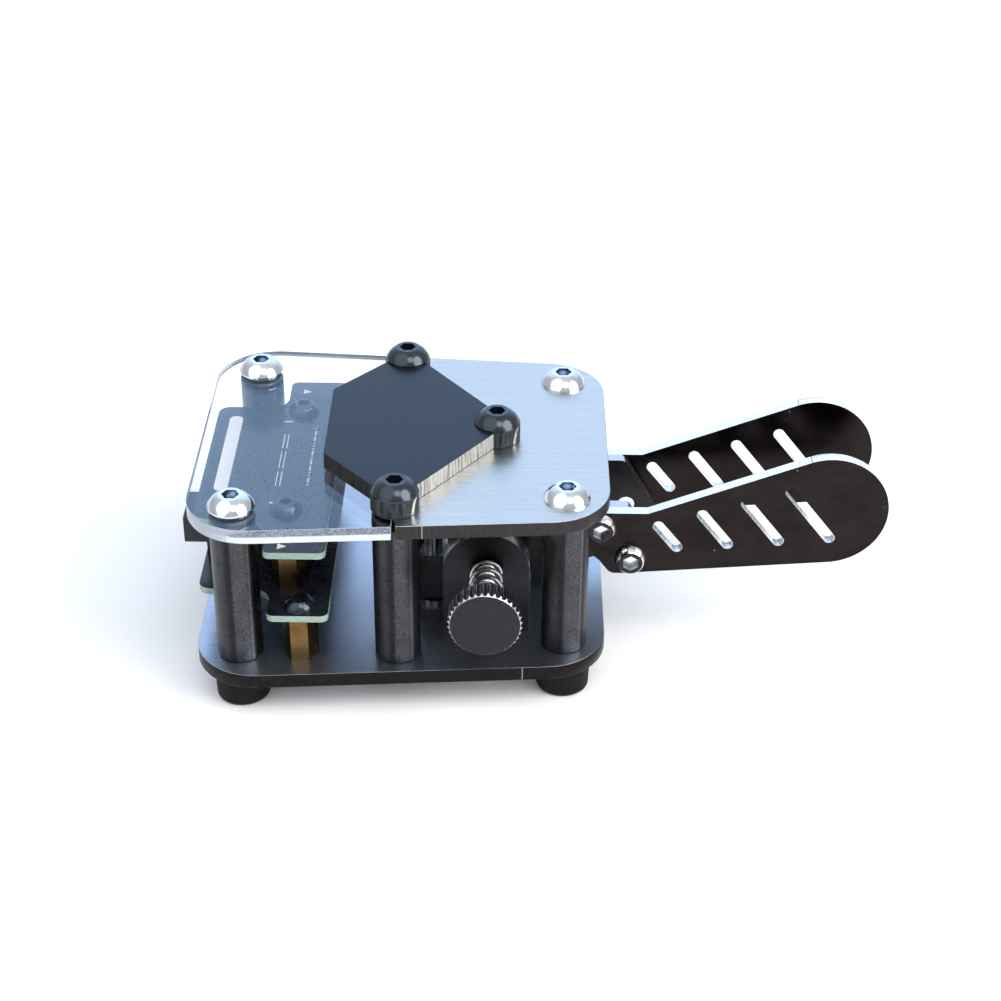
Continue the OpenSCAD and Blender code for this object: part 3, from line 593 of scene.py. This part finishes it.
def add_board_ink():
    """White printing on the upper board: a blank bar, dots and dashes, ruled lines and markers."""
    low, high = (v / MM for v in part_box("upper_board"))
    z, ink = high.z, 0.03
    bm = bmesh.new()
    stamp(bm, bar_outline((low.x + 3.4, 2.6), 24.7, 2.3), z, ink)
    dash, dot, gap = 1.5, 0.44, 0.49
    y = -7.8
    for length in (dot, dash, dot, dot, dash, dash, dot, dash, dot, dot, dot, dash, dash, dot):
        middle = (low.x + 17.6, y + length / 2)
        stamp(bm, bar_outline(middle, length, 0.34, rounded=length == dot), z, ink)
        y += length + gap
    rule_gap, rule_width = 1.1, 0.16
    y = -8.0
    for length in (4.6, 5.4, 4.6):
        for shift in (-0.35, 0.35):
            middle = (low.x + 12.7 + shift, y + length / 2)
            stamp(bm, bar_outline(middle, length, rule_width, rounded=False), z, ink)
        y += length + rule_gap
    for side in (FRONT, REAR):
        y = side * 23.9
        stamp(bm, [(low.x + 14.2, y - 0.8), (low.x + 15.7, y), (low.x + 14.2, y + 0.8)], z, ink)
        stamp(bm, bar_outline((low.x + 12.6, side * 13.2), 1.6, 0.4, along_y=False), z, ink)
    piece("board_ink", close(bm, "board_ink"), "ink", "frame", smooth=False)


def add_solder():
    """Solder cones under the header pins, below the lower board."""
    pins_low, pins_high = (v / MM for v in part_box("header_pin_row"))
    board_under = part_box("lower_board")[0].z / MM
    x = (pins_low.x + pins_high.x) / 2
    count, pin_half = 6, 0.32
    first, last = pins_low.y + pin_half, pins_high.y - pin_half
    # radius, and depth below the board
    cone = [(0.86, 0.0), (0.84, 0.03), (0.62, 0.16), (0.42, 0.42), (0.33, 0.7), (0.2, 0.78)]
    bm = bmesh.new()
    for i in range(count):
        y = first + (last - first) * i / (count - 1)
        revolve(bm, (x, y), [(radius, board_under - depth) for radius, depth in cone])
    piece("solder_joints", close(bm, "solder_joints"), "silver", "frame")


def add_screw_thread(side):
    """The stop rod with a true helical thread, in place of the CAD rod's plain rings."""
    name = "front" if side == FRONT else "rear"
    low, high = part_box("rod_" + name)
    centre_x, centre_z = (low.x + high.x) / 2 / MM, (low.z + high.z) / 2 / MM
    start, end = low.y / MM, high.y / MM
    pitch, crest, root = 0.7, 2.0, 1.7
    end_taper, crest_sharpness = 0.4, 1.25
    around, per_turn = 40, 8
    rows = int((end - start) / pitch * per_turn)
    bm = bmesh.new()
    rings = []
    for r in range(rows + 1):
        y = start + (end - start) * r / rows
        ring = []
        for i in range(around):
            angle = 2 * math.pi * i / around
            phase = ((y - start) / pitch - side * angle / (2 * math.pi)) % 1.0
            height = 1 - abs(2 * phase - 1)
            taper = max(0.0, min(1.0, (y - start) / end_taper, (end - y) / end_taper))
            radius = root + (crest - root) * min(1.0, height * crest_sharpness) * taper
            place = Vector((centre_x + radius * math.cos(angle), y, centre_z + radius * math.sin(angle)))
            ring.append(bm.verts.new(place * MM))
        rings.append(ring)
    bridge(bm, rings)
    bm.faces.new(rings[0])
    bm.faces.new(rings[-1])
    made = piece("thread_" + name, close(bm, "thread_" + name), "rod", "thumbscrew_" + name)
    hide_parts("rod_" + name)


def add_jack_lip():
    """A plated ring let into the mouth of the jack."""
    low, high = (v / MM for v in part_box("jack_socket"))
    y, z = (low.y + high.y) / 2, (low.z + high.z) / 2
    inner, outer, proud, deep = 1.8, 2.15, 0.12, 0.05
    profile = [(inner, deep), (inner, -proud + 0.04), (inner + 0.05, -proud), (outer - 0.05, -proud),
               (outer, -proud + 0.04), (outer, deep)]
    sides = 48
    bm = bmesh.new()
    rings = []
    for radius, x in profile:
        ring = []
        for i in range(sides):
            angle = 2 * math.pi * i / sides
            place = Vector((low.x + x, y + radius * math.cos(angle), z + radius * math.sin(angle)))
            ring.append(bm.verts.new(place * MM))
        rings.append(ring)
    bridge(bm, rings + rings[:1])
    piece("jack_lip", close(bm, "jack_lip"), "silver", "frame")


def add_floor():
    mesh = bpy.data.meshes.new("studio_floor")
    reach = 4.0
    corners = [(-reach, -reach, 0), (reach, -reach, 0), (reach, reach, 0), (-reach, reach, 0)]
    mesh.from_pydata(corners, [], [(0, 1, 2, 3)])
    floor = bpy.data.objects.new("studio_floor", mesh)
    bpy.context.scene.collection.objects.link(floor)
    p = Paint("floor_paint")
    grain = p.noise(0.02, 3)
    color = p.mix(p.steps(grain, 0.3, 0.7), (0.90, 0.90, 0.90), (0.92, 0.92, 0.92))
    mesh.materials.append(p.set(color=color, rough=0.9, gloss=0.1))


def set_world():
    """A soft neutral surround, brightest overhead, with a wide bluish panel high behind the object."""
    world = bpy.data.worlds.new("studio")
    bpy.context.scene.world = world
    world.use_nodes = True
    tree = world.node_tree
    nodes, links = tree.nodes, tree.links
    nodes.clear()
    direction = nodes.new("ShaderNodeTexCoord").outputs["Generated"]
    split = nodes.new("ShaderNodeSeparateXYZ")
    links.new(direction, split.inputs[0])
    height = nodes.new("ShaderNodeValToRGB")
    links.new(split.outputs[2], height.inputs[0])
    marks = height.color_ramp.elements
    marks.new(0.5)
    for mark, (place, color) in zip(marks, SURROUND):
        mark.position = place
        mark.color = (*color, 1)
    toward = nodes.new("ShaderNodeVectorMath")
    toward.operation = "DOT_PRODUCT"
    links.new(direction, toward.inputs[0])
    elevation = math.radians(PANEL_UP)
    toward.inputs[1].default_value = (0, math.cos(elevation), math.sin(elevation))
    panel = nodes.new("ShaderNodeMapRange")
    panel.interpolation_type = "SMOOTHSTEP"
    links.new(toward.outputs["Value"], panel.inputs["Value"])
    panel.inputs["From Min"].default_value = math.cos(math.radians(PANEL_END))
    panel.inputs["From Max"].default_value = math.cos(math.radians(PANEL_FULL))
    mix = nodes.new("ShaderNodeMix")
    mix.data_type = "RGBA"
    links.new(panel.outputs[0], mix.inputs[0])
    links.new(height.outputs[0], mix.inputs[6])
    mix.inputs[7].default_value = PANEL_COLOR
    background = nodes.new("ShaderNodeBackground")
    links.new(mix.outputs[2], background.inputs[0])
    background.inputs[1].default_value = 1.0
    out = nodes.new("ShaderNodeOutputWorld")
    links.new(background.outputs[0], out.inputs[0])


add_camera()
dress_nodes()
add_board_ink()
add_solder()
add_jack_lip()
for side in (FRONT, REAR):
    add_screw_thread(side)
add_floor()
set_world()
add_light("key", (0.75, -0.35, 0.62), size=0.8, power=9.0, color=(1.0, 0.95, 0.88))
add_light("fill", (-0.6, -0.5, 0.9), size=1.4, power=4.0, color=(1.0, 1.0, 1.0))
add_light("front_box", (0.2, -0.52, 0.84), size=0.45, power=2.0, color=(1.0, 1.0, 1.0))
bpy.context.scene.view_settings.view_transform = "Standard"
